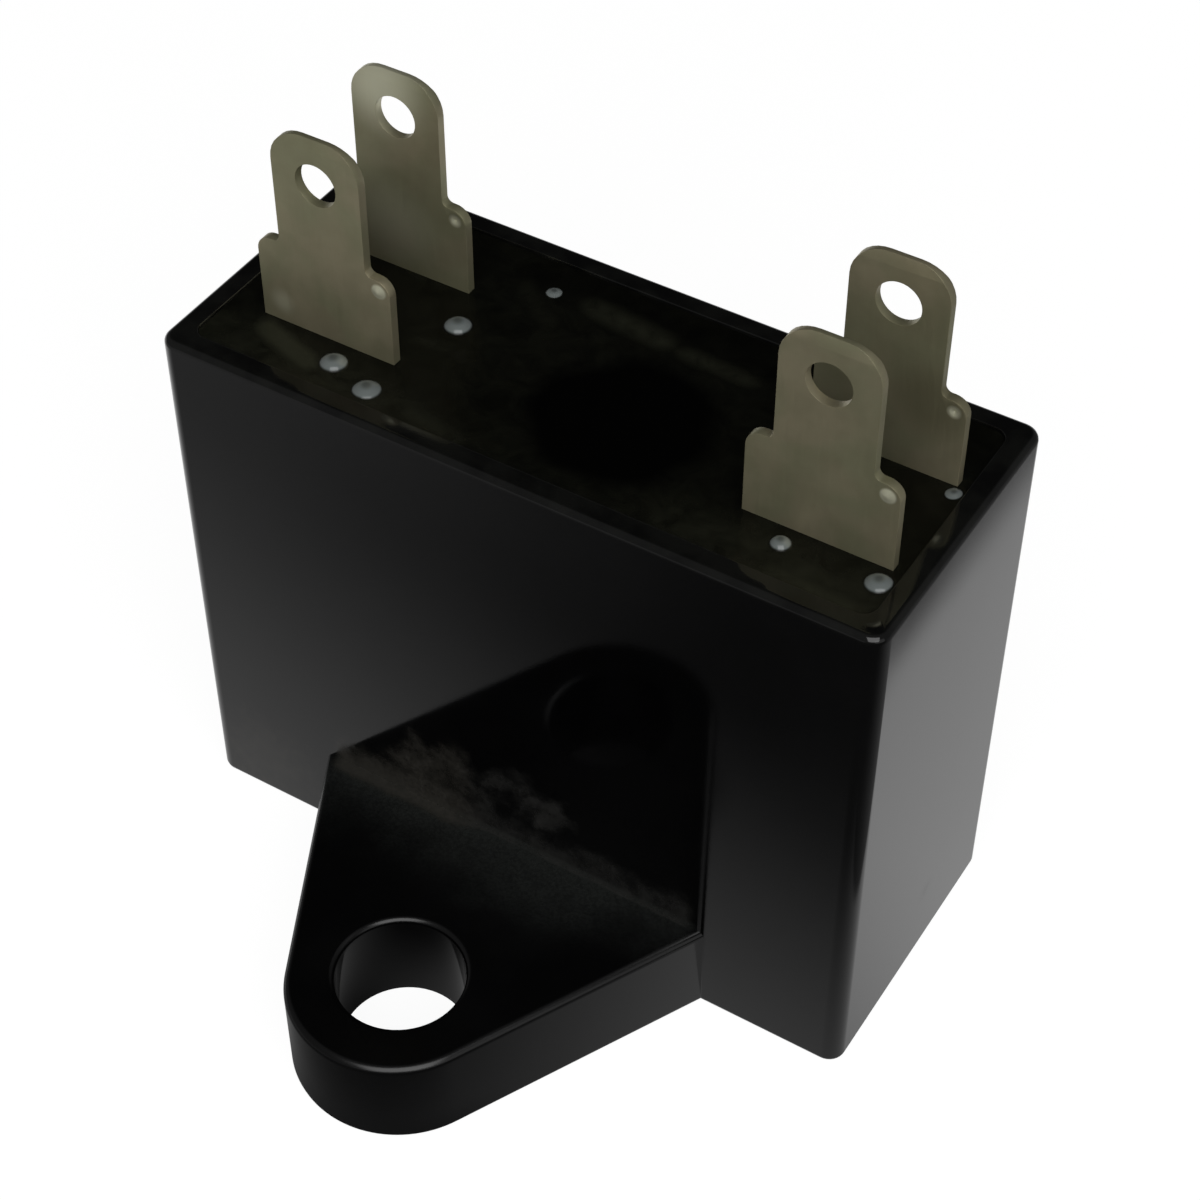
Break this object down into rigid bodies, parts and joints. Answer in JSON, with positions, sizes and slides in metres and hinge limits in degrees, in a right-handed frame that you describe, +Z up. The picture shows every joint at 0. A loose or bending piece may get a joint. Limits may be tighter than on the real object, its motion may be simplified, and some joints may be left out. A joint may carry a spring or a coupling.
{
  "type": "motor run capacitor",
  "caption": "Potted box-type film capacitor for running a small motor, with a side mounting ear and two double push-on blade terminals.",
  "frame": {"origin": "centre of the mounting ear's hole, on the base plane", "axes": "+X along the long side of the box, +Y from the ear into the box, +Z up, the way the blades point"},
  "size_m": [0.038, 0.0316, 0.0408],
  "materials": {
    "case_plastic": "satin black moulding",
    "potting_resin": "glossy, self-levelled",
    "film_roll": "metallised film, pressed flat",
    "wrap_film": "plain film",
    "sprayed_metal": "rough sprayed metal",
    "tinned_wire": "tinned",
    "solder": "bright solder",
    "tinned_brass": "dull tin plate with a warm cast"
  },
  "bodies": {
    "root": {"case": "case_plastic", "resin_fill": "potting_resin", "winding": "film_roll", "outer_wrap": "wrap_film", "terminal_left": "tinned_brass", "end_spray_left": "sprayed_metal", "lead_left": "tinned_wire", "spray_solder_left": "solder", "web_solder_left": "solder", "terminal_right": "tinned_brass", "end_spray_right": "sprayed_metal", "lead_right": "tinned_wire", "spray_solder_right": "solder", "web_solder_right": "solder"}
  },
  "joints": []
}
